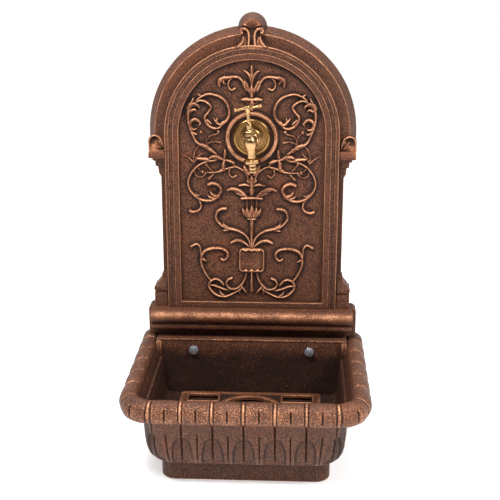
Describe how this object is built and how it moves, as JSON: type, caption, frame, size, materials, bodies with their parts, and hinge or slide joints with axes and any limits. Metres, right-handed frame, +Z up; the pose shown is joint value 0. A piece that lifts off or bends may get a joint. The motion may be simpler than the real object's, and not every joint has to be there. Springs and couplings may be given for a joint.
{
  "type": "wall fountain",
  "caption": "Cast wall fountain: arched back plate with scroll relief, basin with gadrooned rim and loose grate, and a brass tap on a round boss.",
  "frame": {"origin": "on the ground under the foot, halfway along the whole part's width and depth", "axes": "+Z up, +X to the right as the fountain is seen, +Y towards the wall"},
  "size_m": [0.42, 0.339, 0.7583],
  "materials": {
    "plate_paint": "cast, dark brown paint rubbed with copper on the high places",
    "basin_paint": "cast, dark brown paint rubbed with copper on the high places",
    "grate_paint": "cast, dark brown paint rubbed with copper on the edges",
    "brass": "polished",
    "zinc": "zinc plated"
  },
  "bodies": {
    "fountain": {"back_plate": "plate_paint", "basin": "basin_paint", "basin_grate": "grate_paint", "basin_screw_left": "zinc", "basin_screw_right": "zinc", "tap_rosette": "brass", "tap_body": "brass", "tap_bonnet": "brass", "tap_union_nut": "brass", "tap_nozzle": "brass"},
    "handle": {"tap_handle": "brass"}
  },
  "joints": [
    {"name": "tap_turn", "type": "hinge", "parent": "fountain", "child": "handle", "pos_m": [0, 0.0875, 0.5435], "axis": [-0.0872, 0, 0.9962], "range_deg": [0, 540]}
  ]
}
